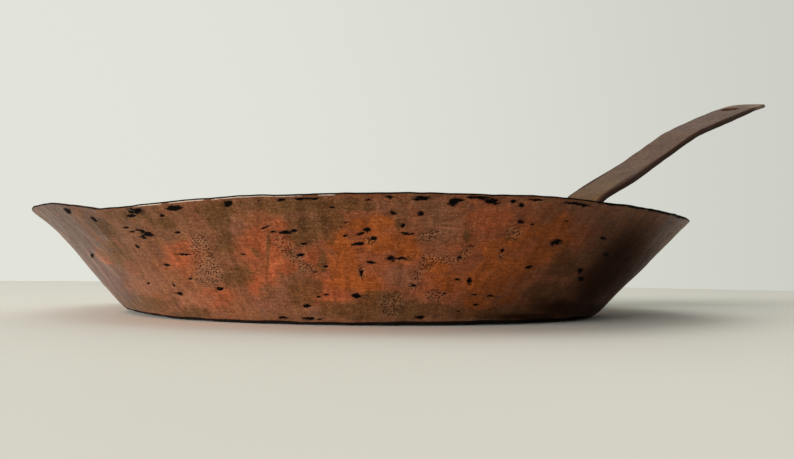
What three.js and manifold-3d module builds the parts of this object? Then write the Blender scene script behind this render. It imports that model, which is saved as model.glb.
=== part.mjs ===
import * as THREE from 'three';
import { mergeVertices } from 'three/addons/utils/BufferGeometryUtils.js';
import Module from 'manifold-3d';

// Hand-raised copper frying pan with a riveted strap handle and a pouring lip.
// Millimetres, +Z up. The origin is the middle of the base's underside, which is on the table.
// The handle runs out towards +X, and the lip is on the far side of the pan from it.

// Pan body: one copper sheet with a flat base and a flared wall
const rimRadius = 140;
const baseRadius = 103.5;
const panHeight = 40.6;
const sheetThickness = 2;

// Tin lining: wiped over the inside, short of the rim
const liningThickness = 0.4;
const liningGap = 0.15;
const liningDrop = 3;
const insideBendRadius = 3;

// Pouring lip: the rim is pressed down and in at a notch on each side of it. The lip is turned a
// little from -X towards +Y, and the other degrees are counted round the rim from the lip's middle.
const lipTurnDegrees = 9.5;
const lipFootHeight = 12;
const notchDegrees = 25;
const notchDegreesTowardsLip = 8.1;
const notchDegreesTowardsHandle = 21;
const notchSharpness = 1.25;
const notchDrop = 3.8;
const notchPress = 3;
const lipHollow = 3;
const lipHollowDegrees = 24;

// Handle: a forged strap that leaves the wall at the wall's slope, bends out and levels off
const strapThickness = 3.5;
const neckWidth = 25;
const gripWidth = 27;
const neckLength = 27;
const shoulderLength = 12;
const neckBendRadius = 35;
const gripClimbDegrees = 26;
const gripLength = 86;
const tipBendRadius = 625;
const tipClimbDegrees = 13.3;
const palmGap = 0.3;
const hangingHoleRadius = 5.5;
const hangingHoleInset = 29;
const hangingHoleSide = 3;

// Rivets: two under the rim and one below them, headed inside and out
const shankRadius = 3;
const headRadius = 6;
const headHeight = 2.6;
const headSpacing = 6;
const headMargin = 4;
const rimMargin = 6;
const shankClearance = 0.3;
const seatGap = 0.3;

// Fineness of the round shapes
const roundSteps = 72;
const bendSteps = 3;
const wallSteps = 5;
const strapBendSteps = 8;
const outlineSteps = 6;
const rivetSteps = 20;
const mergeDistance = 1e-4;

// Cutting tools and rough stock run this far past the finished shape
const trimAllowance = 5;

const wasm = await Module();
wasm.setup();

// A closed solid from a geometry: shared corners are merged and flat slivers at the poles go
function toSolid(geometry) {
  const corners = new THREE.BufferGeometry();
  corners.setAttribute('position', geometry.getAttribute('position'));
  corners.setIndex(geometry.getIndex());
  const merged = mergeVertices(corners, mergeDistance);
  const index = merged.getIndex().array;
  const triVerts = [];
  for (let i = 0; i < index.length; i += 3) {
    const [a, b, c] = index.slice(i, i + 3);
    if (a !== b && b !== c && c !== a) triVerts.push(a, b, c);
  }
  const vertProperties = new Float32Array(merged.getAttribute('position').array);
  return new wasm.Manifold(
    new wasm.Mesh({ numProp: 3, vertProperties, triVerts: new Uint32Array(triVerts) }),
  );
}

function toGeometry(solid) {
  const { vertProperties, triVerts } = solid.getMesh();
  const geometry = new THREE.BufferGeometry();
  geometry.setAttribute('position', new THREE.BufferAttribute(new Float32Array(vertProperties), 3));
  geometry.setIndex(new THREE.BufferAttribute(new Uint32Array(triVerts), 1));
  geometry.computeVertexNormals();
  return geometry;
}

// Turns a profile of (radius, height) points about +Z
function turn(profile, steps) {
  return new THREE.LatheGeometry(profile, steps).rotateX(Math.PI / 2);
}

// The wall's section. It is a straight line that leaves the base at wallFoot and is tangent to
// the rounded nose of the rim. "Along" is the distance up this line, and "depth" is the distance
// inward from the outside of the sheet.
const noseRadius = sheetThickness / 2;
const noseCentre = new THREE.Vector2(rimRadius - noseRadius, panHeight - noseRadius);
const wallFoot = new THREE.Vector2(baseRadius, 0);
const footToNose = noseCentre.clone().sub(wallFoot);
const wallAngle = footToNose.angle() - Math.asin(noseRadius / footToNose.length());
const wallUp = new THREE.Vector2(Math.cos(wallAngle), Math.sin(wallAngle));
const wallIn = new THREE.Vector2(-Math.sin(wallAngle), Math.cos(wallAngle));
const wallLength = footToNose.dot(wallUp);

function wallPoint(along, depth) {
  return wallFoot.clone().addScaledVector(wallUp, along).addScaledVector(wallIn, depth);
}

// The bend between base and wall has one centre for every layer of the sheet and lining
const outsideBendRadius = insideBendRadius + liningThickness + liningGap + sheetThickness;
const bendReach = outsideBendRadius * Math.tan(wallAngle / 2);
const bendCentre = new THREE.Vector2(baseRadius - bendReach, outsideBendRadius);
const liningTop = wallLength - liningDrop;

// One layer's section, from the axis out along the base, round the bend and up to the lining's top
function layerLine(depth) {
  const line = [new THREE.Vector2(0, depth)];
  for (let i = 0; i <= bendSteps; i += 1) {
    const angle = (wallAngle * i) / bendSteps;
    const direction = new THREE.Vector2(Math.sin(angle), -Math.cos(angle));
    line.push(bendCentre.clone().addScaledVector(direction, outsideBendRadius - depth));
  }
  for (let i = 1; i <= wallSteps; i += 1) {
    line.push(wallPoint(THREE.MathUtils.lerp(bendReach, liningTop, i / wallSteps), depth));
  }
  return line;
}

// The half-round edge of the sheet at the rim, from its outside over to its inside
function rimNose() {
  const nose = [];
  for (let i = 0; i <= bendSteps; i += 1) {
    const angle = wallAngle - Math.PI / 2 + (Math.PI * i) / bendSteps;
    const direction = new THREE.Vector2(Math.cos(angle), Math.sin(angle));
    nose.push(noseCentre.clone().addScaledVector(direction, noseRadius));
  }
  return nose;
}

// A hump of height 1: a power of 2 rounds its top, and a lower one creases it
function bell(distance, spread, power) {
  return Math.exp(-(Math.abs(distance / spread) ** power));
}

// Hammers the lip and its two notches into a layer of the pan
function shapeLip(geometry) {
  const position = geometry.getAttribute('position');
  const point = new THREE.Vector3();
  const lipTurn = THREE.MathUtils.degToRad(lipTurnDegrees);
  const lipMiddle = new THREE.Vector3(-Math.cos(lipTurn), Math.sin(lipTurn), 0);
  for (let i = 0; i < position.count; i += 1) {
    point.fromBufferAttribute(position, i);
    const outward = new THREE.Vector3(point.x, point.y, 0);
    const degrees = THREE.MathUtils.radToDeg(lipMiddle.angleTo(outward));
    const towards = degrees < notchDegrees ? notchDegreesTowardsLip : notchDegreesTowardsHandle;
    const rise = THREE.MathUtils.smoothstep(point.z, lipFootHeight, panHeight);
    const notch = bell(degrees - notchDegrees, towards, notchSharpness) * rise;
    const hollow = bell(degrees, lipHollowDegrees, 2) * Math.sin(Math.PI * (point.z / panHeight) ** 2);
    const radius = Math.hypot(point.x, point.y);
    const pressed = radius - notchPress * notch - lipHollow * hollow;
    const ratio = radius > 0 ? pressed / radius : 1;
    position.setXYZ(i, point.x * ratio, point.y * ratio, point.z - notchDrop * notch);
  }
  return geometry;
}

// Rivet places: how far down the wall from the rim's nose, and how far to the side
const rivetPitch = 2 * headRadius + headSpacing;
const upperDrop = rimMargin + headRadius;
const lowerDrop = upperDrop + rivetPitch * Math.sin(Math.PI / 3);
const rivetPlaces = [
  { name: 'rivet_upper_left', drop: upperDrop, side: rivetPitch / 2 },
  { name: 'rivet_upper_right', drop: upperDrop, side: -rivetPitch / 2 },
  { name: 'rivet_lower', drop: lowerDrop, side: 0 },
];

// A rivet's frame: its origin is on the outside of the wall, and its +Z points out square to the wall
function rivetFrame({ drop, side }) {
  const foot = wallPoint(wallLength - drop, 0);
  const turned = Math.asin(side / foot.x);
  const tilt = Math.PI - wallAngle;
  return new THREE.Matrix4()
    .makeRotationZ(turned)
    .multiply(new THREE.Matrix4().makeTranslation(foot.x, 0, foot.y))
    .multiply(new THREE.Matrix4().makeRotationY(tilt));
}

const palmOutside = palmGap + strapThickness;
const liningInside = sheetThickness + liningGap + liningThickness;
const holeRadius = shankRadius + shankClearance;

// A drill for one rivet's hole through lining, sheet and palm
function rivetDrill(place) {
  const length = palmOutside + liningInside + 2 * trimAllowance;
  const drill = new THREE.CylinderGeometry(holeRadius, holeRadius, length, rivetSteps).rotateX(Math.PI / 2);
  drill.translate(0, 0, (palmOutside - liningInside) / 2);
  return toSolid(drill.applyMatrix4(rivetFrame(place)));
}

function drillRivetHoles(solid) {
  return rivetPlaces.reduce((drilled, place) => drilled.subtract(rivetDrill(place)), solid);
}

function makePanBody() {
  const outside = layerLine(0);
  const inside = layerLine(sheetThickness).reverse();
  const section = [...outside, ...rimNose(), ...inside];
  return toGeometry(drillRivetHoles(toSolid(shapeLip(turn(section, roundSteps)))));
}

function makeTinLining() {
  const copperSide = layerLine(sheetThickness + liningGap);
  const foodSide = layerLine(liningInside).reverse();
  const section = [...copperSide, ...foodSide];
  return toGeometry(drillRivetHoles(toSolid(shapeLip(turn(section, roundSteps)))));
}

// The strap seen from the side. Its upper face carries on from the wall's outside, past the rim.
const gripClimb = THREE.MathUtils.degToRad(gripClimbDegrees);
const tipClimb = THREE.MathUtils.degToRad(tipClimbDegrees);
const strapOverlap = rimMargin / 2;
const strapStart = wallPoint(wallLength - strapOverlap, -palmGap);
const neckEnd = wallPoint(wallLength + neckLength, -palmGap);
const neckTopRadius = neckBendRadius + strapThickness;
const tipTopRadius = tipBendRadius + strapThickness;

function ahead(from, angle, distance) {
  return from.clone().add(new THREE.Vector2(Math.cos(angle), Math.sin(angle)).multiplyScalar(distance));
}

function below(from, angle, distance) {
  return ahead(from, angle - Math.PI / 2, distance);
}

const neckCentre = below(neckEnd, wallAngle, neckTopRadius);
const gripStart = below(neckCentre, gripClimb, -neckTopRadius);
const gripEnd = ahead(gripStart, gripClimb, gripLength);
const tipCentre = below(gripEnd, gripClimb, tipTopRadius);
const tipEnd = below(tipCentre, tipClimb, -tipTopRadius);

function strapSide() {
  const quarter = Math.PI / 2;
  const topEnd = ahead(tipEnd, tipClimb, trimAllowance);
  const bottomEnd = below(topEnd, tipClimb, strapThickness);
  const bottomStart = below(strapStart, wallAngle, strapThickness);
  const side = new THREE.Shape();
  side.moveTo(strapStart.x, strapStart.y);
  side.absarc(neckCentre.x, neckCentre.y, neckTopRadius, wallAngle + quarter, gripClimb + quarter, true);
  side.absarc(tipCentre.x, tipCentre.y, tipTopRadius, gripClimb + quarter, tipClimb + quarter, true);
  side.lineTo(topEnd.x, topEnd.y);
  side.lineTo(bottomEnd.x, bottomEnd.y);
  side.absarc(tipCentre.x, tipCentre.y, tipBendRadius, tipClimb + quarter, gripClimb + quarter, false);
  side.absarc(neckCentre.x, neckCentre.y, neckBendRadius, gripClimb + quarter, wallAngle + quarter, false);
  side.lineTo(bottomStart.x, bottomStart.y);
  return side;
}

// The handle seen from above: a palm round the rivets, a neck, and a strap with a round end
const palmHalfWidth = rivetPitch / 2 + headRadius + headMargin;
const toeRadius = headRadius + headMargin;
const widestStock = 2 * Math.max(palmHalfWidth, neckWidth / 2, gripWidth / 2) + trimAllowance;

function handleOutline() {
  const toeX = wallPoint(wallLength - lowerDrop, -palmOutside).x;
  const toeReach = toeRadius * wallUp.x;
  const shoulderX = wallPoint(wallLength - upperDrop, -palmOutside).x;
  const neckX = wallPoint(wallLength + shoulderLength, -palmOutside).x;
  const endReach = (gripWidth / 2) * Math.cos(tipClimb);
  const endX = tipEnd.x - endReach;
  const middleX = (shoulderX + neckX) / 2;
  const quarter = Math.PI / 2;
  const half = new THREE.Path();
  half.absellipse(toeX, 0, toeReach, toeRadius, Math.PI, quarter, true);
  half.quadraticCurveTo((toeX + shoulderX) / 2, palmHalfWidth, shoulderX, palmHalfWidth);
  half.bezierCurveTo(middleX, palmHalfWidth, middleX, neckWidth / 2, neckX, neckWidth / 2);
  half.lineTo(endX, gripWidth / 2);
  half.absellipse(endX, 0, endReach, gripWidth / 2, quarter, 0, true);
  const left = half.getPoints(outlineSteps);
  const right = left.slice(1, -1).reverse().map((point) => new THREE.Vector2(point.x, -point.y));
  return new THREE.Shape([...left, ...right]);
}

// The palm's stock: a band that lies round the outside of the wall, from under the toe to the rim
function palmBand() {
  const bottom = wallLength - lowerDrop - toeRadius - trimAllowance;
  const band = [
    wallPoint(bottom, -palmGap),
    wallPoint(bottom, -palmOutside),
    wallPoint(wallLength, -palmOutside),
    wallPoint(wallLength, -palmGap),
    wallPoint(bottom, -palmGap),
  ];
  return toSolid(turn(band, roundSteps));
}

function makeHandle() {
  const strap = new THREE.ExtrudeGeometry(strapSide(), {
    depth: widestStock,
    steps: 1,
    bevelEnabled: false,
    curveSegments: strapBendSteps,
  });
  strap.rotateX(Math.PI / 2).translate(0, widestStock / 2, 0);
  const outline = new THREE.ExtrudeGeometry(handleOutline(), {
    depth: tipEnd.y + 2 * trimAllowance,
    steps: 1,
    bevelEnabled: false,
  });
  outline.translate(0, 0, -trimAllowance);
  const blank = toSolid(strap).add(palmBand()).intersect(toSolid(outline));
  return toGeometry(drillRivetHoles(blank).subtract(hangingHoleDrill()));
}

// The hanging hole is square to the strap's upper face, inside its round end
function hangingHoleDrill() {
  const turned = tipClimb + hangingHoleInset / tipTopRadius;
  const place = below(tipCentre, turned, -(tipTopRadius - strapThickness / 2));
  const length = strapThickness + 2 * trimAllowance;
  const drill = new THREE.CylinderGeometry(hangingHoleRadius, hangingHoleRadius, length, rivetSteps);
  drill.rotateX(Math.PI / 2).rotateY(-turned).translate(place.x, hangingHoleSide, place.y);
  return toSolid(drill);
}

// A rivet's section, from the middle of its inside head to the middle of its outside head
function rivetSection() {
  const wallCurveRadius = wallPoint(wallLength - lowerDrop, liningInside).x / Math.sin(wallAngle);
  const sag = headRadius ** 2 / (2 * wallCurveRadius);
  const insideSeat = -(liningInside + seatGap + sag);
  const outsideSeat = palmOutside + seatGap;
  const section = [];
  for (let i = 0; i <= bendSteps; i += 1) {
    const angle = ((Math.PI / 2) * i) / bendSteps;
    const height = insideSeat - headHeight * Math.cos(angle);
    section.push(new THREE.Vector2(headRadius * Math.sin(angle), height));
  }
  section.push(new THREE.Vector2(shankRadius, insideSeat), new THREE.Vector2(shankRadius, outsideSeat));
  for (let i = 0; i <= bendSteps; i += 1) {
    const angle = ((Math.PI / 2) * i) / bendSteps;
    const height = outsideSeat + headHeight * Math.sin(angle);
    section.push(new THREE.Vector2(headRadius * Math.cos(angle), height));
  }
  return section;
}

function makeRivet() {
  return toGeometry(toSolid(turn(rivetSection(), rivetSteps)));
}

const wornCopper = new THREE.MeshStandardMaterial({ color: 0x9c5433, roughness: 0.42, metalness: 1 });
const brownCopper = new THREE.MeshStandardMaterial({ color: 0x77543f, roughness: 0.5, metalness: 1 });
const rivetCopper = new THREE.MeshStandardMaterial({ color: 0x86502f, roughness: 0.45, metalness: 1 });
const wipedTin = new THREE.MeshStandardMaterial({ color: 0x9b9890, roughness: 0.4, metalness: 1 });

function addPiece(group, name, geometry, material) {
  const piece = new THREE.Mesh(geometry, material);
  piece.name = name;
  group.add(piece);
  return piece;
}

const pan = new THREE.Group();
addPiece(pan, 'pan_body', makePanBody(), wornCopper);
addPiece(pan, 'tin_lining', makeTinLining(), wipedTin);
addPiece(pan, 'handle', makeHandle(), brownCopper);
for (const place of rivetPlaces) {
  const rivet = addPiece(pan, place.name, makeRivet(), rivetCopper);
  rivet.applyMatrix4(rivetFrame(place));
}

export default pan;
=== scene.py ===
import math

import bmesh
import bpy
import numpy as np
from bpy.props import FloatProperty, FloatVectorProperty, PointerProperty
from bpy.types import Operator, Panel, PropertyGroup
from mathutils import Matrix, Vector, noise


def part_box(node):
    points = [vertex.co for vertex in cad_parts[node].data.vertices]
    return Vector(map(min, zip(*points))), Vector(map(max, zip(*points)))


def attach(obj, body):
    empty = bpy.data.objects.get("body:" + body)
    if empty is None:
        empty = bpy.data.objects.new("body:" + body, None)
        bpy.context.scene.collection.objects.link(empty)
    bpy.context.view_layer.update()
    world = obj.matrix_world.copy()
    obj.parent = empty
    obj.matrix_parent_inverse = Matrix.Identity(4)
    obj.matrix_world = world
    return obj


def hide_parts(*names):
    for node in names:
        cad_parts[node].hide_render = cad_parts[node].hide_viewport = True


bl_info = {
    "name": "Hammered Copper Frying Pan",
    "version": (1, 0, 0),
    "blender": (4, 5, 0),
    "location": "View3D > Sidebar > Copper Pan",
    "description": "Makes a hand-raised copper frying pan with a tin lining and a riveted strap handle",
    "category": "Add Mesh",
}

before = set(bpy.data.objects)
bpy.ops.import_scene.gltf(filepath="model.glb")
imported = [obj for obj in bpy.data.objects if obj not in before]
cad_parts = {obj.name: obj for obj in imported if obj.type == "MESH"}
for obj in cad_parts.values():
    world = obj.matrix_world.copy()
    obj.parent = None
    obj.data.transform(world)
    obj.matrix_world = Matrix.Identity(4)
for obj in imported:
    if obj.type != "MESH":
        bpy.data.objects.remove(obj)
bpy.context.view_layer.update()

MM = 0.001
BODY = "root"
PHOTO_WIDTH = 794
PHOTO_HEIGHT = 459
SENSOR_WIDTH_MM = 36.0


def linear(hex_code):
    """An sRGB hex colour, such as "9c5433", as linear red, green and blue."""
    channels = [int(hex_code[start:start + 2], 16) / 255 for start in (0, 2, 4)]
    return tuple(c / 12.92 if c <= 0.04045 else ((c + 0.055) / 1.055) ** 2.4 for c in channels)


def length(name, description, millimetres):
    """A length that is given in millimetres and kept in metres."""
    return FloatProperty(name=name, description=description, default=millimetres * MM,
                         unit="LENGTH", precision=5)


def angle(name, description, degrees):
    """An angle that is given in degrees and kept in radians."""
    return FloatProperty(name=name, description=description, default=math.radians(degrees),
                         subtype="ANGLE", unit="ROTATION")


def colour(name, description, hex_code):
    """A colour that is given as sRGB hex and kept linear."""
    return FloatVectorProperty(name=name, description=description, default=linear(hex_code),
                               size=3, min=0.0, max=1.0, subtype="COLOR")


class CopperPanSizes(PropertyGroup):
    """Sizes of the raised copper and of the tin inside it."""

    rim_radius: length("Rim radius", "Outside of the rim, from the axis", 140)
    base_radius: length("Base radius", "Where the wall's outside would meet the table", 103.5)
    height: length("Height", "Top of the rim above the table", 40.6)
    sheet: length("Sheet", "Thickness of the copper", 2)
    inside_bend: length("Inside bend", "Radius of the bend between base and wall, on the food side", 3)
    tin: length("Tin", "Thickness of the lining", 0.4)
    tin_gap: length("Tin gap", "Between copper and lining", 0.15)
    tin_drop: length("Tin drop", "How far short of the rim the tin stops", 3)
    lip_turn: angle("Lip turn", "How far the lip is turned from -X towards +Y", 9.5)
    lip_foot: length("Lip foot", "Height at which the lip starts", 12)
    notch_at: angle("Notch place", "Round the rim from the lip's middle to each notch", 24.2)
    notch_near: angle("Notch, lip side", "Spread of a notch towards the lip", 4.4)
    notch_far: angle("Notch, handle side", "Spread of a notch towards the handle", 22.6)
    notch_drop: length("Notch drop", "How far a notch lowers the rim", 3.15)
    notch_press: length("Notch press", "How far a notch pushes the rim in", 2.7)
    lip_hollow: length("Lip hollow", "How far the wall under the lip is pressed in", 3)
    lip_spread: angle("Lip spread", "Spread of that hollow round the rim", 24)
    rim_cut: length("Rim cut", "How far below the full height the rim was filed flat", 0.25)
    rim_round: length("Rim rounding", "Rounding of the filed rim's outer corner", 0.8)
    rim_burr: length("Rim burr", "Rounding of the filed rim's inner corner", 0.45)
    base_lift: length("Base lift", "How far the base's edge curls up, on the handle's side", 0.6)
    lip_lift: length("Lip side lift", "How much further it curls up below the lip", 0.9)
    lip_lift_spread: angle("Lip side spread", "Spread of that round the base", 16)
    base_flat: length("Base flat", "Radius of the middle that lies on the table", 72)
    dent_spacing: length("Hammer spacing", "Between neighbouring hammer marks", 12)
    dent_depth: length("Hammer depth", "Depth of a hammer mark", 0.36)
    wave_length: length("Wave length", "Size of the sheet's broad unevenness", 55)
    wave_depth: length("Wave depth", "Depth of the sheet's broad unevenness", 0.45)
    rim_wobble: length("Rim wobble", "Unevenness of the rim's height", 0.3)


class StrapHandleSizes(PropertyGroup):
    """Sizes of the forged strap and of the rivets that hold it."""

    thickness: length("Thickness", "Thickness of the strap", 3.5)
    neck_width: length("Neck width", "Width just past the rim", 25)
    grip_width: length("Grip width", "Width at the round end", 27)
    neck_length: length("Neck length", "From the rim to the first bend", 27)
    shoulder_length: length("Shoulder", "From the rim to where the palm has narrowed", 12)
    neck_bend: length("Neck bend", "Radius of the first bend, on the upper face", 38.5)
    grip_climb: angle("Grip climb", "Slope of the straight stretch", 26)
    grip_length: length("Grip length", "Length of the straight stretch", 86)
    tip_bend: length("Tip bend", "Radius of the last bend, on the upper face", 628.5)
    tip_climb: angle("Tip climb", "Slope at the tip", 13.3)
    tip_twist: angle("Tip twist", "Twist of the strap at its tip", 7)
    tip_thinning: FloatProperty(name="Tip thinning", description="Share of the thickness lost at the tip",
                                default=0.3, subtype="FACTOR")
    palm_gap: length("Palm gap", "Between the wall and the palm", 0.3)
    hole_radius: length("Hole radius", "Radius of the hanging hole", 5.5)
    hole_inset: length("Hole inset", "From the tip to the hole's middle", 29)
    hole_side: length("Hole side", "How far the hole is off the strap's middle", 3)
    edge_round: length("Edge rounding", "Radius of the strap's worn edges", 1.1)
    edge_wander: length("Edge wander", "How far the forged edges wander", 0.55)
    rivet_radius: length("Rivet radius", "Radius of a rivet's head", 6)
    rivet_height: length("Rivet height", "Height of a rivet's head", 2.6)
    seat_gap: length("Seat gap", "Under a rivet's head", 0.3)
    shank_radius: length("Shank radius", "Radius of a rivet's shank", 3)
    rivet_pitch: length("Rivet pitch", "Between neighbouring rivets", 18)
    rivet_drop: length("Rivet drop", "From the rim down to the upper rivets", 12)
    palm_margin: length("Palm margin", "Copper left round a rivet's head", 4)


class CopperPanColours(PropertyGroup):
    """Colours of the metals, as they look under plain light, and of the painted shade and highlights laid
    over them.
    """

    patina: colour("Patina", "Brown skin of old copper", "885c42")
    warm: colour("Warm brown", "Thinner, more orange skin", "90593b")
    oxide_pink: colour("Pink oxide", "Thin pinkish skin on rubbed copper", "906047")
    # Also laid as painted sheen on the flanks and along the right outline
    ash_sheen: colour("Ashen skin", "Greyish skin of hard-rubbed copper", "67504c")
    bare: colour("Bare copper", "Orange copper where the skin has gone", "ae5d39")
    amber: colour("Amber copper", "Yellower copper under a thin film", "aa5c2a")
    olive: colour("Olive tarnish", "Greenish brown tarnish", "68492b")
    scorch: colour("Scorch", "Dark brown round the burnt spots", "2c1a11")
    black: colour("Black oxide", "Burnt black spots", "050303")
    # Near white: a painted highlight along the rim as well as bright filed copper
    filed_highlight: colour("Filed copper", "Bright copper on the filed rim", "f0dccd")
    # This pale colour is also laid as painted highlights round the pits and as pale painted reflection
    # streaks
    grain: colour("Burnished grain", "Pale copper between the pits", "a07e60")
    # A red-black colour of painted shade, for the right side and the lower right of the wall
    painted_shade: colour("Smoke", "Red-black skin where smoke has baked on", "1f0d06")
    # Soot on the underside, which on the base's edge also stands for painted shade where the pan meets the
    # table
    soot_and_shade: colour("Soot", "Scorch on the underside", "0d0a08")
    handle: colour("Handle", "Even brown of the strap", "583f32")
    handle_wear: colour("Handle wear", "Copper rubbed through on the strap", "a08570")
    rivet: colour("Rivet", "Brown of the rivet heads", "704a38")
    tin: colour("Tin", "Dull wiped tin", "b0aea6")
    tin_stain: colour("Tin stain", "Brown tarnish of cooked-on fat", "6d5a46")
    floor: colour("Floor", "Pale table top", "c7c6c0")
    backdrop: colour("Backdrop", "Pale wall colour", "dedfd6")


class PhotoStage(PropertyGroup):
    """Where the camera stands, and how strong the lamps are."""

    camera_azimuth: angle("Camera azimuth", "Round the axis from -Y towards -X", 37.5)
    camera_distance: length("Camera distance", "From the axis", 361.8)
    camera_height: length("Camera height", "Above the table", 17.76)
    camera_turn: angle("Camera turn", "Turn to the right of the axis", 2.312)
    camera_tilt: angle("Camera tilt", "Tilt above the horizon", 3.159)
    camera_roll: angle("Camera roll", "Roll about the line of sight", 0.718)
    focal_pixels: FloatProperty(name="Focal length", description="In pixels of the photo", default=780)
    key_power: FloatProperty(name="Window", description="Wide soft lamp on the left",
                             default=2400, unit="POWER")
    fill_power: FloatProperty(name="Fill", description="Weak lamp overhead", default=9,
                              unit="POWER")
    sky: FloatProperty(name="Sky", description="Light from all round", default=0.8)


class CopperPanSettings(PropertyGroup):
    """Everything that a user may change."""

    pan: PointerProperty(type=CopperPanSizes)
    strap: PointerProperty(type=StrapHandleSizes)
    colours: PointerProperty(type=CopperPanColours)
    stage: PointerProperty(type=PhotoStage)


class WallSection:
    """The pan's section: "along" is the way up the wall's outside, "depth" the way in from it."""

    def __init__(self, pan):
        self.nose_radius = pan.sheet / 2
        self.nose_centre = Vector((pan.rim_radius - self.nose_radius, pan.height - self.nose_radius))
        self.foot = Vector((pan.base_radius, 0))
        reach = self.nose_centre - self.foot
        self.slope = math.atan2(reach.y, reach.x) - math.asin(self.nose_radius / reach.length)
        self.up = Vector((math.cos(self.slope), math.sin(self.slope)))
        self.inward = Vector((-math.sin(self.slope), math.cos(self.slope)))
        self.length = reach.dot(self.up)
        self.rim_height = pan.height - pan.rim_cut
        self.corners = ((0, pan.rim_round), (pan.sheet, pan.rim_burr))
        self.bend_radius = pan.inside_bend + pan.tin + pan.tin_gap + pan.sheet
        self.bend_reach = self.bend_radius * math.tan(self.slope / 2)
        self.bend_centre = Vector((pan.base_radius - self.bend_reach, self.bend_radius))

    def at(self, along, depth):
        """The (radius, height) so far up the wall and so far in from its outside."""
        return self.foot + self.up * along + self.inward * depth

    def along_at(self, height, depth):
        """How far up the wall a height is reached, at a depth."""
        return (height - depth * self.inward.y) / self.up.y

    def rim_edge(self, side):
        """How far up the wall the outside (0) or inside (1) goes before the filed rim's corner."""
        depth, rounding = self.corners[side]
        return self.along_at(self.rim_height, depth) - rounding

    def layer(self, depth, top, wall_step, base_step):
        """Rows of (radius, height, along, 0) from near the axis, round the bend and up to top."""
        rows = []
        base_count = round(self.bend_centre.x / base_step)
        bend_arc = self.bend_radius * self.slope
        for i in range(1, base_count):
            radius = self.bend_centre.x * i / base_count
            along = self.bend_reach - bend_arc - (self.bend_centre.x - radius)
            rows.append((radius, depth, along, 0))
        bend_count = 6
        for i in range(bend_count):
            turned = self.slope * i / bend_count
            way = Vector((math.sin(turned), -math.cos(turned)))
            place = self.bend_centre + way * (self.bend_radius - depth)
            rows.append((place.x, place.y, self.bend_reach - bend_arc * (1 - i / bend_count), 0))
        wall_count = round((top - self.bend_reach) / wall_step)
        for i in range(wall_count + 1):
            along = self.bend_reach + (top - self.bend_reach) * i / wall_count
            place = self.at(along, depth)
            rows.append((place.x, place.y, along, 0))
        return rows

    def filed_rim(self):
        """Rows over the rim, which was filed flat; the last number goes from 0 to 1 round its corner."""
        rows = []
        steps = 8
        for side, (depth, rounding) in enumerate(self.corners):
            along = self.along_at(self.rim_height, depth)
            corner = self.at(along, depth)
            wall = self.at(along - rounding, depth)
            flat = corner + Vector((rounding if side else -rounding, 0))
            for i in range(1, steps + 1):
                t = 1 - (i - 1) / steps if side else i / steps
                place = wall * (1 - t) ** 2 + corner * 2 * t * (1 - t) + flat * t ** 2
                rows.append((place.x, place.y, along, 1 if side else t))
        return rows


# Turned shapes

def turned_points(rows, steps):
    """Points of turned rows and of the two poles that close them, with each point's azimuth and row."""
    azimuth = np.arange(steps) * 2 * math.pi / steps
    radius, height = rows[:, 0], rows[:, 1]
    rings = np.stack([np.outer(radius, np.cos(azimuth)), np.outer(radius, np.sin(azimuth)),
                      np.outer(height, np.ones(steps))], axis=-1).reshape(-1, 3)
    poles = np.array([[0, 0, height[0]], [0, 0, height[-1]]])
    row_of = np.concatenate([np.repeat(np.arange(len(rows)), steps), [0, len(rows) - 1]])
    azimuth_of = np.concatenate([np.tile(azimuth, len(rows)), [0, 0]])
    return np.vstack([rings, poles]), azimuth_of, row_of


def turned_faces(row_count, steps):
    """Faces between turned rows, closed by a fan at each pole."""
    faces = []
    first_pole = row_count * steps
    last_row = (row_count - 1) * steps
    for j in range(steps):
        k = (j + 1) % steps
        for i in range(row_count - 1):
            low, high = i * steps, (i + 1) * steps
            faces.append((low + j, low + k, high + k, high + j))
        faces.append((first_pole, k, j))
        faces.append((first_pole + 1, last_row + j, last_row + k))
    return faces


def new_object(name, points, faces):
    """A mesh object in the scene."""
    mesh = bpy.data.meshes.new(name)
    mesh.from_pydata(np.asarray(points).tolist(), [], faces)
    made = bpy.data.objects.new(name, mesh)
    bpy.context.scene.collection.objects.link(made)
    return made


def add_piece(name, points, faces, material, node):
    """A smooth mesh piece that rides on the pan and stands for one node of the frame."""
    piece = new_object(name, points, faces)
    piece.data.shade_smooth()
    piece.data.materials.append(material)
    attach(piece, BODY)
    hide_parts(node)
    return piece


def read_points(mesh, what):
    """The places ("co") or normals ("normal") of a mesh's points."""
    values = np.empty(len(mesh.vertices) * 3)
    mesh.vertices.foreach_get(what, values)
    return values.reshape(-1, 3)


def push_out(piece, amounts):
    """Moves each point along its normal."""
    mesh = piece.data
    moved = read_points(mesh, "co") + read_points(mesh, "normal") * amounts[:, None]
    mesh.vertices.foreach_set("co", moved.ravel())
    mesh.update()


def paint(piece, name, values):
    """Keeps a number or a vector for each point, which the material reads by name."""
    kind, part = ("FLOAT", "value") if values.ndim == 1 else ("FLOAT_VECTOR", "vector")
    piece.data.attributes.new(name, kind, "POINT").data.foreach_set(part, values.ravel())


def smoothstep(low, high, values):
    """Goes smoothly from 0 to 1 as values go from low to high."""
    t = np.clip((values - low) / (high - low), 0, 1)
    return t * t * (3 - 2 * t)


def bell(distance, spread):
    """1 at no distance, and a little over a third at one spread."""
    return np.exp(-(distance / spread) ** 2)


def rough_noise(points, size, shift):
    """Smooth noise from -1 to 1 with features of about one size; shift picks another pattern."""
    return np.array([noise.noise(Vector(p) / size + Vector((shift, 0, 0))) for p in points])


# How far a hammer mark reaches from its middle, as a share of the spacing
HAMMER_REACH = 0.62


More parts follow.
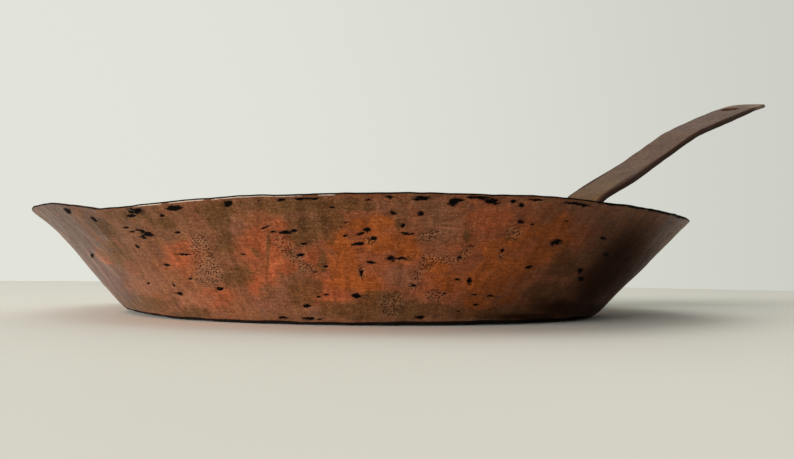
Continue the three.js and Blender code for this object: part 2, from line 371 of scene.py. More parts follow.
def hammer_marks(points, spacing):
    """Depth of shallow hammer marks, 0 on the ridges between them and 1 in their middles."""
    distance = np.array([noise.voronoi(Vector(p) / spacing)[0][0] for p in points])
    return 1 - np.clip(distance / HAMMER_REACH, 0, 1) ** 2


# Hand work on the pan's sheet

# Places where the rim was left high or low: azimuth and spread in degrees, rise in millimetres
RIM_RISES = (
    (168, 10, 0.5), (188, 4, -1.1), (212, 11, 0.45), (238, 4, 0.4), (255, 17, 0.77), (256, 7, 0.35),
    (290, 16, -0.35), (40, 22, 0.4), (95, 20, -0.4),
)
# Waves of the rim, long and short: size as a share of the radius, pattern, share of the wobble
RIM_WAVES = ((0.12, 3.7, 1), (0.03, 8.1, 0.5))
# The sheet's broad waves: their pattern, and how much height counts in it, which draws them out
WAVE_PATTERN = 21.3
WAVE_STRETCH = 0.6
# Between which shares of the height the rim's rises and the waves set in, and the base's curl ends
RISES_SET_IN = (0.35, 1)
WAVES_SET_IN = (0.03, 0.4)
CURL_ENDS = (0.05, 0.7)
# How far on each side of the handle the sheet was left true
HANDLE_SECTOR = math.radians(16)
# Round the base from the lip: where its edge starts to curl up, and where it has curled up
LIFTED_SIDE = (math.radians(50), math.radians(85))
# Keeps a division by the radius safe on the axis
TINY = 1e-9


def wrapped(turn):
    """The same turn between minus half and half a circle."""
    return (turn + math.pi) % (2 * math.pi) - math.pi


def shape_by_hand(points, azimuth, pan):
    """Hammers the lip, its notches and the uneven rim into a layer of the pan."""
    x, y, z = points.T
    radius = np.hypot(x, y)
    share = z / pan.height
    from_lip = np.abs(wrapped(azimuth - (math.pi - pan.lip_turn)))
    spread = np.where(from_lip < pan.notch_at, pan.notch_near, pan.notch_far)
    notch = bell(from_lip - pan.notch_at, spread) * smoothstep(pan.lip_foot, pan.height, z)
    hollow = bell(from_lip, pan.lip_spread) * np.sin(math.pi * np.clip(share, 0, 1) ** 2)

    away = smoothstep(HANDLE_SECTOR, 2 * HANDLE_SECTOR, np.abs(wrapped(azimuth)))
    rise = sum(bell(wrapped(azimuth - math.radians(at)), math.radians(wide)) * height * MM
               for at, wide, height in RIM_RISES)
    ring = np.stack([np.cos(azimuth), np.sin(azimuth), np.zeros(len(x))], axis=-1)
    wobble = sum(rough_noise(ring, size, pattern) * pan.rim_wobble * strength
                 for size, pattern, strength in RIM_WAVES)
    drawn_out = np.stack([x, y, z * WAVE_STRETCH], axis=-1)
    wave = rough_noise(drawn_out, pan.wave_length, WAVE_PATTERN) * pan.wave_depth
    wave = wave * away * smoothstep(*WAVES_SET_IN, share)

    pressed = radius - pan.notch_press * notch - pan.lip_hollow * hollow - wave
    ratio = np.where(radius > 0, pressed / np.maximum(radius, TINY), 1)
    curl = smoothstep(pan.base_flat, pan.base_radius, radius) * (1 - smoothstep(*CURL_ENDS, share))
    lift = pan.base_lift * smoothstep(*LIFTED_SIDE, from_lip)
    lift += pan.lip_lift * bell(from_lip, pan.lip_lift_spread)
    high = smoothstep(*RISES_SET_IN, share) * away
    lifted = z - pan.notch_drop * notch + (rise + wobble) * high + lift * curl
    return np.stack([x * ratio, y * ratio, lifted], axis=-1)


# Marks on the outside of the wall, read off the photo: x, y, half length and half height in
# its pixels, and the tilt in degrees, clockwise.
BURNT_SPOTS = (
    (227.4, 204.1, 4, 4, 0), (281.6, 200.3, 4, 1.5, 0), (307.5, 199.3, 14, 1.2, 0),
    (258.7, 201.3, 1.8, 1, 0), (332, 207.7, 3.4, 1.2, 0), (368.4, 200.3, 3, 1.2, 0),
    (389, 197.5, 5, 1.2, 0), (393.3, 213.5, 3.5, 2.2, 0), (273.3, 232.4, 3.2, 1.2, 0),
    (284.8, 232.8, 5.8, 1.8, 0), (293.7, 230.9, 3.2, 1.3, 0), (265.7, 227.7, 5, 0.9, -20),
    (300.8, 255.2, 3.6, 1.6, 0), (305, 244, 4, 1.1, 0), (243.4, 254.5, 2.7, 1, 0),
    (326.3, 266.6, 2.4, 1.1, 0), (315.4, 272.4, 2.2, 0.9, 0), (367, 230.3, 3.6, 3, 0),
    (361.4, 234, 4.4, 1.8, -20), (374, 238.8, 3.6, 1.6, 0), (359.4, 244.3, 6.2, 1.5, 0),
    (345.4, 235.8, 2.5, 1, 0), (346, 222.4, 1.5, 1.1, 0), (341.6, 227, 1.4, 0.9, 0),
    (391.3, 259, 5, 3, 0), (402, 259.4, 7.5, 1.1, 2), (370.9, 262.8, 5, 1.3, 8),
    (361.4, 273.5, 1.8, 3, 0), (219.8, 289.6, 3.7, 1.8, 0), (356.3, 296, 4.2, 2.1, 5),
    (318.6, 297.2, 2.4, 1, 0), (326.3, 295, 3, 1.1, 0), (306.5, 306, 3.8, 1.9, 0),
    (285.7, 306.8, 1.4, 0.9, 0), (282.9, 318.5, 5.2, 1.5, 0), (308.4, 318.7, 6.5, 1.3, 0),
    (320.5, 319.2, 2.4, 0.9, 0), (422, 198.4, 9.5, 2.1, 0), (456.5, 199.7, 6.2, 2.1, 0),
    (453.3, 204, 4.6, 2.7, 0), (479.5, 197.8, 11, 1.6, 0), (492.2, 201.6, 7, 4, 0),
    (514, 201.6, 3.2, 1.5, 0), (521.6, 205.4, 3.1, 1.9, 0), (535, 200.3, 9, 1, 0),
    (571.3, 203.6, 8, 1.3, 8), (581, 205, 10, 1.5, 8), (420, 213.7, 3.7, 2.5, 0),
    (403, 225.2, 2.5, 1.8, 0), (404.9, 233.7, 3.5, 1.1, 0), (411.9, 234.2, 3, 1, 0),
    (521.6, 222, 3.3, 1.7, 0), (532.4, 224.8, 2.7, 0.9, 0), (567.2, 222.2, 1.5, 0.9, 0),
    (556, 243, 5.7, 2.7, -15), (471.8, 246.6, 3.6, 1.1, 0), (502.2, 250.7, 1.7, 2.3, 0),
    (459.7, 257.7, 2.3, 1.7, 0), (529.9, 267.7, 3.6, 1.7, 0), (413.8, 286.4, 3.1, 1.6, 0),
    (457.8, 280.4, 2.6, 1.3, 0), (469.9, 282, 2.4, 3.5, 0), (475.7, 305.5, 3.2, 1.2, 0),
    (475, 295.3, 2.2, 0.8, 0), (459, 311.3, 1.8, 0.9, 0), (445, 293.7, 1.8, 0.9, 0),
    (491, 296, 4.2, 1, 0), (419.5, 317.7, 5, 1.5, 0), (603, 238.4, 3, 1.4, 0),
    (605.8, 254.8, 2.7, 1.7, 0), (580.2, 270.6, 3, 2.3, 0), (581.8, 279.3, 3.2, 2.3, 0),
    (135.5, 211.2, 8.5, 2.9, 0), (130.6, 216, 5, 1.7, 0), (174.2, 208.2, 8.5, 2.7, 0),
    (67.6, 210.6, 4, 2.2, 30), (94.2, 219.7, 4, 1.2, 35), (142, 231.5, 6, 1.5, 10),
    (147.5, 234.5, 8, 2.2, 10), (143, 238, 4, 1.2, 20), (131.8, 232.4, 3, 1, 0),
    (177.3, 233.3, 2.6, 1.1, 0), (136.7, 246.4, 2.8, 1.4, 40), (91.8, 256, 1.6, 2, 0),
    (166.4, 265.8, 2.9, 1.6, 10), (183, 254.7, 6, 1.3, 0), (190, 279.3, 2, 0.9, 0),
    (148.2, 284, 1.5, 1, 0), (179, 294.2, 4, 1.5, 0), (173, 285.8, 2.3, 0.9, 40), (125, 228, 4, 1, 0),
    (162, 216, 2.5, 1.5, 40), (612, 204, 16, 1.3, 7.5), (640, 208, 16, 1.4, 8.5),
    (663, 212.6, 14, 1.4, 14), (680, 217, 9, 1.2, 16),
)
BARE_PATCHES = (
    (256, 243, 9, 12, 0), (280, 243, 10, 9, 0), (274, 262, 6, 20, 0), (289, 267, 10, 7, 0),
    (311, 258, 6, 6, 0), (184, 244, 9, 6, 0), (180, 261, 11, 7, 0), (105, 258, 10, 6, 45),
    (338, 296, 16, 6, 0), (328, 285, 8, 8, 0), (282, 225, 8, 5, 0), (492, 217, 24, 14, 0),
    (254, 284, 8, 8, 0),
)
WARM_PATCHES = (
    (262, 252, 26, 34, 0), (372, 252, 58, 42, 0), (505, 248, 64, 46, -10), (182, 258, 20, 16, 0),
    (330, 288, 34, 18, 0), (455, 278, 45, 26, 0), (562, 238, 26, 22, 0), (212, 298, 22, 9, 0),
)
AMBER_PATCHES = (
    (342, 252, 13, 20, 0), (346, 280, 17, 12, 0), (364, 284, 18, 9, -10), (385, 243, 20, 11, 0),
    (372, 226, 23, 9, 0), (405, 249, 12, 14, 0), (438, 267, 13, 7, 0), (500, 262, 30, 18, -10),
    (522, 240, 28, 9, -30), (485, 286, 26, 16, 0), (478, 302, 15, 10, 0), (545, 232, 16, 9, -20),
    (562, 230, 14, 13, 0), (545, 256, 20, 12, 0), (448, 282, 12, 8, 0),
)
OLIVE_PATCHES = (
    (312, 229, 22, 14, 0), (300, 222, 12, 8, 0), (330, 221, 15, 8, 0), (305, 289, 16, 16, 0),
    (323, 262, 4, 12, 0), (355, 311, 42, 9, 0), (374, 301, 24, 9, 0), (420, 311, 36, 9, 0),
    (300, 207, 46, 7, 0), (225, 208, 30, 8, 0), (350, 205, 20, 6, 0), (255, 252.6, 6.5, 2, 52),
    (268, 249, 1.5, 19, 2), (238, 276, 14, 13, 30), (224, 241, 8, 12, 0), (215, 220, 12, 10, 0),
    (467, 236, 4, 8, 0), (399, 223, 4, 8, 0), (115, 252, 14, 10, 20), (103, 228, 17, 9, 30),
    (130, 214, 20, 6, 0), (150, 305, 24, 7, 0), (188, 313, 18, 5, 0), (500, 314, 40, 6, 0),
    (562, 264, 16, 14, 0), (545, 292, 20, 9, 0), (165, 224, 12, 6, 0),
)
PINK_PATCHES = (
    (442, 228, 26, 20, 0), (398, 276, 18, 12, 0), (272, 307, 26, 8, 0), (380, 208, 13, 7, 0),
    (212, 272, 14, 14, 0), (278, 301, 10, 11, 0), (234, 226, 12, 12, 0), (150, 282, 22, 12, 0),
    (195, 300, 20, 10, 0), (386, 306, 8, 11, 0),
)
# Greyish rubbed skin on the flanks and at the right outline, which also paints the sheen where the wall
# turns away
ASHEN_SHEEN_PATCHES = (
    (60, 218, 30, 13, 45), (84, 246, 34, 15, 50), (106, 276, 32, 14, 50), (122, 296, 20, 12, 45),
    (95, 225, 18, 8, 50), (668, 229, 30, 7, -45), (636, 268, 36, 5, -47),
)
STIPPLED_PATCHES = (
    (280, 241, 5.5, 4.5, 40), (287, 249, 8, 5.5, 45), (297, 260, 8, 5, 45), (306, 268, 9, 5.5, 30),
    (199, 244, 9, 10, 0), (203, 254, 9, 7, 0), (208, 276, 12, 11, 0), (204, 264, 9, 10, 0),
    (413, 284, 4, 5, 0), (418, 276, 4.5, 8, 30), (425, 266, 5.5, 7, 40), (433, 259, 10, 4, 0),
    (450, 260, 10, 4.5, 0), (462, 256, 8, 5, -20), (469, 250, 4.5, 4.5, -30), (430, 236, 12, 5, -10),
    (514, 234, 7, 5.5, 0), (501, 257, 3.5, 4.5, 0), (361.5, 273, 3.5, 6.5, 0), (371, 240, 7, 3.5, 0),
    (402, 260, 10, 2.5, 0), (392, 306, 11, 12, 0), (435, 296, 9, 6, 0),
)
# Painted shade on the lower right of the wall, near the table
LOWER_SHADE_PATCHES = (
    (606, 274, 66, 19, -50), (574, 309, 50, 11, 0), (530, 317, 46, 4, 0),
)
# Painted shade over the right side of the wall, which faces away from the light
SIDE_SHADE_PATCHES = (
    (582, 245, 74, 46, 0), (518, 294, 78, 28, -12),
)
# Bright filed places on the rim, painted in as highlights
GLINTS = (
    (250, 197, 48, 9, 0), (150, 206, 18, 7, 0), (190, 203, 22, 7, 0), (327, 194, 8, 6, 0),
)
# Each kind of mark: those of the photo, then how many random ones the far side has, and their size
MARK_KINDS = {
    "warm": (WARM_PATCHES, 16, 16 * MM),
    "bare": (BARE_PATCHES, 50, 5 * MM),
    "amber": (AMBER_PATCHES, 40, 6 * MM),
    "olive": (OLIVE_PATCHES, 50, 6 * MM),
    "pink": (PINK_PATCHES, 24, 9 * MM),
    "ashen_sheen": (ASHEN_SHEEN_PATCHES, 8, 10 * MM),
    "painted_shade": (LOWER_SHADE_PATCHES, 10, 12 * MM),
    "stipple": (STIPPLED_PATCHES, 34, 5 * MM),
    "burnt": (BURNT_SPOTS, 260, 1.5 * MM),
    "glint": (GLINTS, 8, 20 * MM),
    "side_shade": (SIDE_SHADE_PATCHES, 3, 30 * MM),
}
MARK_SEED = 41
# A mark covers points by about a half at its edge
MARK_FALLOFF = 0.7
# Random marks crowd a little towards the base, and lie on this share of the wall below the rim
MARK_CROWDING = 1.3
MARKED_SHARE = 0.95
# Spread of their lengths, limits of their height as a share of that, and spread of their tilt
LENGTH_SPREAD = 0.45
HEIGHT_SHARES = (0.3, 0.9)
TILT_SPREAD = 0.25


class PhotoView:
    """The fitted camera: finds where points show in the photo, and which of them face it."""

    def __init__(self, stage):
        azimuth = stage.camera_azimuth
        away = Vector((-math.sin(azimuth), -math.cos(azimuth), 0)) * stage.camera_distance
        self.place = away + Vector((0, 0, stage.camera_height))
        self.rotation = (Matrix.Rotation(-azimuth - stage.camera_turn, 3, "Z")
                         @ Matrix.Rotation(math.pi / 2 + stage.camera_tilt, 3, "X")
                         @ Matrix.Rotation(stage.camera_roll, 3, "Z"))
        self.focal = stage.focal_pixels

    def pixels(self, points):
        """Where points show in the photo: x and y in its pixels."""
        local = (points - np.array(self.place)) @ np.array(self.rotation)
        across = PHOTO_WIDTH / 2 - self.focal * local[:, 0] / local[:, 2]
        down = PHOTO_HEIGHT / 2 + self.focal * local[:, 1] / local[:, 2]
        return np.stack([across, down], axis=-1)

    def faced(self, points, normals):
        """How squarely each point faces the camera: 1 straight on, 0 at the outline, less behind it."""
        sight = np.array(self.place) - points
        return (sight * normals).sum(axis=1) / np.linalg.norm(sight, axis=1)


def mark_cover(along, across, long, high, lean):
    """How strongly one mark covers points, from their distances to its middle."""
    share = ((along * math.cos(lean) + across * math.sin(lean)) / long) ** 2
    share += ((across * math.cos(lean) - along * math.sin(lean)) / high) ** 2
    return np.exp(-MARK_FALLOFF * share)


def seen_field(pixels, marks):
    """How strongly photo marks cover points."""
    field = np.zeros(len(pixels))
    for x, y, long, high, tilt in marks:
        right, down = (pixels - (x, y)).T
        field = np.maximum(field, mark_cover(right, down, long, high, math.radians(tilt)))
    return field


def unseen_field(section, rng, count, size, azimuth, along):
    """The same for random marks of like size, for the part of the wall that the photo doesn't show."""
    field = np.zeros(len(azimuth))
    for _ in range(count):
        middle = rng.uniform(-math.pi, math.pi)
        height = section.length * (1 - rng.power(MARK_CROWDING) * MARKED_SHARE)
        long = size * rng.lognormal(0, LENGTH_SPREAD)
        high = long * rng.uniform(*HEIGHT_SHARES)
        lean = rng.normal(0, TILT_SPREAD)
        right = wrapped(azimuth - middle) * section.at(height, 0).x
        field = np.maximum(field, mark_cover(right, along - height, long, high, lean))
    return field


# Materials

def add_node(tree, kind, inputs=(), give=0, **settings):
    """Adds a node and gives one of its outputs, the first unless another is named.

    The inputs are values in the order of the node's sockets, or by socket. An output is linked.
    """
    made = tree.nodes.new("ShaderNode" + kind)
    for name, value in settings.items():
        setattr(made, name, value)
    by_socket = inputs if isinstance(inputs, dict) else dict(enumerate(inputs))
    for socket, value in by_socket.items():
        if isinstance(value, bpy.types.NodeSocket):
            tree.links.new(value, made.inputs[socket])
        else:
            made.inputs[socket].default_value = value
    return made.outputs[give] if made.outputs else None


def per_metre(millimetres):
    """A texture scale that repeats about once in a real length."""
    return 1000 / millimetres


def opaque(linear_colour):
    """A colour with a full alpha, as colour sockets take it."""
    return (*linear_colour, 1)


def new_material(name):
    """An empty material and its node tree."""
    material = bpy.data.materials.new(name)
    material.use_nodes = True
    material.node_tree.nodes.clear()
    return material, material.node_tree


# Sockets of the Mix node for colours, which shares its names between data types
MIX_FACTOR, MIX_FIRST, MIX_SECOND, MIX_RESULT = 0, 6, 7, 2
# Most of a noise's values lie between these, and nearly all between the second two
NOISE_MIDDLE = (0.38, 0.62)
NOISE_SPAN = (0.3, 0.7)


def mask(tree, field, low, high, least=0.0, most=1.0, tear=None):
    """Goes smoothly from least to most as a field goes from low to high.

    A tear is a noise and its strength, and breaks up the mask's edge.
    """
    if tear:
        edge_noise, strength = tear
        field = add_node(tree, "Math", (edge_noise, strength, field), operation="MULTIPLY_ADD")
        low += strength / 2
        high += strength / 2
    return add_node(tree, "MapRange", (field, low, high, least, most), interpolation_type="SMOOTHSTEP")


def laid_over(tree, skin, layers):
    """Lays colours over each other; each layer is a mask and a colour."""
    for cover, layer in layers:
        skin = add_node(tree, "Mix", {MIX_FACTOR: cover, MIX_FIRST: skin, MIX_SECOND: opaque(layer)},
                        MIX_RESULT, data_type="RGBA")
    return skin


def toned(tree, skin, shares):
    """Darkens or lightens a colour by each share in turn."""
    for share in shares:
        skin = add_node(tree, "VectorMath", {0: skin, "Scale": share}, operation="SCALE")
    return skin


def mottled(tree, skin, tones):
    """Tones a colour by noises; each tone is a noise and its darkest and lightest share."""
    return toned(tree, skin, [add_node(tree, "MapRange", (pattern, *NOISE_MIDDLE, dark, light))
                              for pattern, dark, light in tones])


def patterns(tree, sizes):
    """Patterns by name; each size is the place, the width in millimetres, detail and roughness."""
    return {name: add_node(tree, "TexNoise", {
        "Vector": place, "Scale": per_metre(width), "Detail": detail, "Roughness": roughness})
        for name, (place, width, detail, roughness) in sizes.items()}


def end_surface(tree, relief, strength, depth, sockets):
    """Ends a material with its relief, of a real depth, and its shader."""
    normal = add_node(tree, "Bump", {"Strength": strength, "Distance": depth, "Height": relief})
    shader = add_node(tree, "BsdfPrincipled", {**sockets, "Normal": normal})
    add_node(tree, "OutputMaterial", {"Surface": shader})


def hammered_copper(colours, wall_length):
    """Copper raised under a hammer and never polished since.

    The eye sees a brown satin skin over a warm metal, rubbed away to matt orange patches with
    ragged edges, olive and pink where the skin is thick or thin, burnt black spots, fine pitting
    where the skin has lifted, a rim with a black corner and bright filed places, and a sooty base.
    Painted light is laid in too: shade over the right side and lower right, shade on the base's
    sooty edge where it meets the table, a darker upper and brighter lower wall, sheen and
    reflection streaks on the greyish flanks, and highlights round the pits and on the filed rim.
    """
    material, tree = new_material("hammered_copper_old_skin")
    place = add_node(tree, "TexCoord", give="Object")
    sheet = add_node(tree, "Attribute", give="Vector", attribute_name="sheet")
    up_wall, round_wall, scratched = (
        add_node(tree, "Mapping", {"Vector": sheet, "Scale": stretch})
        for stretch in ((1, 1, 0.16), (1, 1, 2.4), (0.16, 0.16, 2)))
    painted = {name: add_node(tree, "Attribute", give="Fac", attribute_name=name)
               for name in (*MARK_KINDS, "from_rim", "rim")}
    # Clouds of tarnish, rubbing marks up the wall, torn edges of the skin, crumbs of oxide, grain
    pattern = patterns(tree, {
        "cloud": (place, 24, 5, 0.6), "rubbed": (up_wall, 2.6, 5, 0.6), "torn": (place, 7, 9, 0.68),
        "crumb": (round_wall, 2.0, 6, 0.65), "grain": (place, 0.75, 3, 0.6),
        "mottle": (place, 3.2, 6, 0.7), "scratch": (scratched, 0.9, 4, 0.6)})
    torn, mottle, grain = pattern["torn"], pattern["mottle"], pattern["grain"]
    pores = add_node(tree, "TexVoronoi", {
        "Vector": place, "Scale": per_metre(0.68), "Randomness": 0.9}, "Distance")

    stippled = mask(tree, painted["stipple"], 0.3, 0.55, tear=(torn, 1.6))
    # Greyish rubbed skin that also paints sheen on the flanks and the outline
    ashen_sheen = mask(tree, painted["ashen_sheen"], 0.2, 0.6)
    burnt = mask(tree, painted["burnt"], 0.4, 0.6, tear=(pattern["crumb"], 2.4))
    # Painted shade: over the right side of the wall, and darker still on its lower right
    side_shade_cover = mask(tree, painted["side_shade"], 0.0, 1.0, most=0.55, tear=(torn, 0.35))
    lower_shade_cover = mask(tree, painted["painted_shade"], -0.05, 0.95, most=0.95, tear=(torn, 0.35))
    # Soot on the base's edge, which also paints the shade where the pan meets the table
    under = mask(tree, painted["from_rim"], wall_length - 1.8 * MM, wall_length - 1.2 * MM)
    soot_and_shade_cover = mask(tree, under, 0.3, 0.6, most=0.97, tear=(mottle, 0.6))
    # Each of these shows only where both of its masks do
    pitted, raised_highlight, pale_reflection_streaks, dark_reflection_streaks, filed_highlight, top_edge = (
        add_node(tree, "Math", both, operation="MULTIPLY") for both in (
            (mask(tree, pores, 0.48, 0.28, 0, 0.95), stippled),
            # Painted highlights round the pits
            (mask(tree, pores, 0.5, 0.72, 0, 0.35), stippled),
            # Painted reflection streaks, pale and dark, up the ashen flank
            (mask(tree, pattern["rubbed"], 0.54, 0.62, 0, 0.5), ashen_sheen),
            (mask(tree, pattern["rubbed"], 0.46, 0.38, 0, 0.5), ashen_sheen),
            # Bright filed copper on the rim, painted in as a highlight too
            (mask(tree, painted["from_rim"], 1.15 * MM, 0.65 * MM),
             mask(tree, painted["glint"], 0.4, 0.8, tear=(mottle, 2.4))),
            (mask(tree, painted["rim"], 0.02, 0.13, tear=(mottle, 0.3)),
             mask(tree, painted["rim"], 0.98, 0.75))))

    skin = laid_over(tree, opaque(colours.patina), (
        (mask(tree, 0.0, -0.12, 0.16, most=0.7, tear=(pattern["cloud"], 1)), colours.warm),
        (mask(tree, 0.0, 0.0, 0.14, most=0.45, tear=(mottle, 1)), colours.olive),
        (mask(tree, painted["ashen_sheen"], 0.2, 0.7, most=0.85, tear=(pattern["rubbed"], 2.4)), colours.ash_sheen),
        (mask(tree, painted["warm"], 0.1, 0.8, most=0.6, tear=(torn, 1.6)), colours.bare),
        (mask(tree, painted["pink"], 0.3, 0.8, most=0.75, tear=(torn, 2.4)), colours.oxide_pink),
        (mask(tree, painted["bare"], 0.28, 0.7, most=0.7, tear=(torn, 2.6)), colours.bare),
        (mask(tree, painted["amber"], 0.28, 0.7, most=0.88, tear=(torn, 2.6)), colours.amber),
        (mask(tree, painted["olive"], 0.3, 0.7, most=0.75, tear=(torn, 2.6)), colours.olive),
        (mask(tree, painted["burnt"], 0.15, 0.75, most=0.5, tear=(mottle, 1.1)), colours.scorch)))
    skin = mottled(tree, skin, ((pattern["rubbed"], 0.84, 1.14), (mottle, 0.79, 1.16),
                                (grain, 0.78, 1.18), (pattern["scratch"], 0.84, 1.14)))
    # Painted light: the wall is darker towards the rim and brighter towards the base, standing in for the
    # pale table's light on its lower part
    skin = toned(tree, skin, [mask(tree, painted["from_rim"], 6 * MM, 48 * MM, 0.84, 1.14)])
    # Over the skin lie real grain, pits, oxide crumbs, burnt spots, the rim's black corner and soot, and
    # painted light: highlights, reflection streaks and shade
    skin = laid_over(tree, skin, (
        (mask(tree, grain, 0.56, 0.68, 0, 0.25), colours.grain),
        (pale_reflection_streaks, colours.grain), (dark_reflection_streaks, colours.olive),
        (side_shade_cover, colours.painted_shade), (lower_shade_cover, colours.painted_shade), (raised_highlight, colours.grain),
        (pitted, colours.scorch), (mask(tree, pattern["crumb"], 0.36, 0.3, 0, 0.75), colours.scorch),
        (filed_highlight, colours.filed_highlight), (burnt, colours.black), (top_edge, colours.black), (soot_and_shade_cover, colours.soot_and_shade)))

    # Burnt places, soot and the painted shade of the right side, lower right and base edge are dull
    # crusts, not metal
    crust_and_shade = add_node(tree, "Math", (side_shade_cover, soot_and_shade_cover), operation="MAXIMUM")
    dull = add_node(tree, "Math", (lower_shade_cover, 0.6, crust_and_shade), operation="MULTIPLY_ADD")
    for spots in (burnt, top_edge):
        dull = add_node(tree, "Math", (dull, spots), operation="MAXIMUM")
    satin = mask(tree, mottle, *NOISE_SPAN, 0.34, 0.52)
    holes = add_node(tree, "Math", (pitted, burnt), operation="ADD")
    relief = add_node(tree, "Math", (holes, -1, mottle), operation="MULTIPLY_ADD")
    relief = add_node(tree, "Math", (grain, 0.4, relief), operation="MULTIPLY_ADD")
    end_surface(tree, relief, 0.6, 0.15 * MM, {
        "Base Color": skin, "Metallic": mask(tree, dull, 0, 1, 0.7, 0), "Specular IOR Level": 0.03,
        "Roughness": add_node(tree, "Math", (dull, 0.3, satin), operation="MULTIPLY_ADD")})
    return material


def forged_copper(colours, name, skin_colour, wear_colour):
    """Copper forged hot and left to brown in the hand.

    The eye sees an even satin brown, paler where hands and hooks rub it and more olive where it
    is tarnished, with scale pits, faint file marks and dark forge scale left on its edges. On the
    strap that dark scale also stands for painted shade on its sides and in its hanging hole.
    """
    material, tree = new_material(name)
    place = add_node(tree, "TexCoord", give="Object")
    wear, scale_and_shade, tarnish = (add_node(tree, "Attribute", give="Fac", attribute_name=field)
                            for field in ("wear", "scale_and_shade", "tarnish"))
    lengthwise = add_node(tree, "Mapping", {"Vector": place, "Scale": (0.12, 1, 0.3)})
    pattern = patterns(tree, {"cloud": (place, 18, 6, 0.62), "fleck": (place, 2.5, 6, 0.65),
                              "grain": (place, 0.8, 4, 0.6), "filing": (lengthwise, 1.2, 4, 0.6)})
    cloud, fleck, filing = pattern["cloud"], pattern["fleck"], pattern["filing"]
    # Dark scale, which on the strap's sides and in its hole also paints their shade
    scale_and_shade_cover = mask(tree, scale_and_shade, 0.15, 0.5, tear=(fleck, 0.5))
    pits = mask(tree, fleck, 0.34, 0.27, 0, 0.8)
    skin = laid_over(tree, opaque(skin_colour), (
        (mask(tree, tarnish, 0.0, 0.9, most=0.95, tear=(cloud, 0.6)), colours.olive),
        (mask(tree, wear, 0.25, 0.75, tear=(cloud, 0.9)), wear_colour)))
    skin = mottled(tree, skin, ((cloud, 0.84, 1.12), (fleck, 0.84, 1.14), (filing, 0.9, 1.1)))
    skin = toned(tree, skin, [mask(tree, tarnish, 0, 1, 1, 0.74)])
    skin = laid_over(tree, skin, ((scale_and_shade_cover, colours.scorch), (pits, colours.black)))
    relief = add_node(tree, "Math", (pattern["grain"], 0.25, fleck), operation="MULTIPLY_ADD")
    relief = add_node(tree, "Math", (filing, 0.3, relief), operation="MULTIPLY_ADD")
    end_surface(tree, relief, 0.4, 0.12 * MM, {
        "Base Color": skin, "Metallic": mask(tree, scale_and_shade_cover, 0, 1, 0.7, 0), "Specular IOR Level": 0.05,
        "Roughness": mask(tree, fleck, *NOISE_SPAN, 0.56, 0.42)})
    return material


def wiped_tin(colours):
    """Tin melted on and wiped round with a cloth, then cooked on for years.

    The eye sees a soft grey metal with long wipe marks round the pan, fine scratches across
    it, brown stains, and copper showing through where it has worn thin.
    """
    material, tree = new_material("wiped_tin_cooked_on")
    place = add_node(tree, "TexCoord", give="Object")
    wear = add_node(tree, "Attribute", give="Fac", attribute_name="wear")
    round_pan = add_node(tree, "Attribute", give="Vector", attribute_name="wipe")
    across = add_node(tree, "Mapping", {
        "Vector": place, "Rotation": (0, 0, 0.6), "Scale": (per_metre(45), per_metre(0.7), per_metre(6))})
    # The wipe marks and the scratches are already in widths of their own marks
    wipe = add_node(tree, "TexNoise", {"Vector": round_pan, "Scale": 1, "Detail": 5, "Roughness": 0.6})
    scratch = add_node(tree, "TexNoise", {"Vector": across, "Scale": 1, "Detail": 3, "Roughness": 0.5})
    pattern = patterns(tree, {"cloud": (place, 28, 7, 0.65), "fleck": (place, 3, 6, 0.7)})
    skin = laid_over(tree, opaque(colours.tin), (
        (mask(tree, pattern["cloud"], 0.45, 0.72, 0, 0.75), colours.tin_stain),
        (mask(tree, wear, 0.5, 0.75, tear=(pattern["fleck"], 0.9)), colours.oxide_pink)))
    skin = toned(tree, skin, [add_node(tree, "MapRange", (wipe, *NOISE_SPAN, 0.72, 1.1))])
    scored = add_node(tree, "MapRange", (scratch, 0.6, 0.7, 0, -0.8))
    relief = add_node(tree, "Math", (wipe, scored), operation="ADD")
    end_surface(tree, relief, 0.5, 0.12 * MM, {
        "Base Color": skin, "Metallic": 0.8,
        "Roughness": add_node(tree, "MapRange", (wipe, *NOISE_SPAN, 0.64, 0.5))})
    return material


def painted_table(colours):
    """Matt paint on a table top: pale, almost even, with a roller's stipple and all but no gloss."""
    material, tree = new_material("matt_painted_table")
    place = add_node(tree, "TexCoord", give="Object")
    pattern = patterns(tree, {"cloud": (place, 160, 3, 0.5), "stipple": (place, 1.5, 3, 0.5)})
    tone = add_node(tree, "MapRange", (pattern["cloud"], *NOISE_SPAN, 0.97, 1.02))
    end_surface(tree, pattern["stipple"], 0.1, 0.05 * MM, {
        "Base Color": toned(tree, tuple(colours.floor), [tone]),
        "Roughness": 0.7, "Specular IOR Level": 0.02})
    return material


# Pieces

SHELL_STEPS = 1440
LINING_STEPS = 480
# Row spacing up the wall and over the base: for the marked outside, for the tin that shows, and for
# faces that are covered
MARKED_ROWS = (0.55 * MM, 4 * MM)
SHOWN_TIN_ROWS = (1.5 * MM, 3 * MM)
PLAIN_ROWS = (3 * MM, 12 * MM)
# Radius at which the wall is unrolled for its patterns
SHEET_RADIUS = 122 * MM
# How squarely the wall faces the camera where the photo's marks end, and where they are full
MARKS_FADE = (-0.25, 0)
BURNT_DEPTH = 0.12 * MM
# Below the rim's top, where hammer marks reach their full depth
FULL_DENTS = 3 * MM


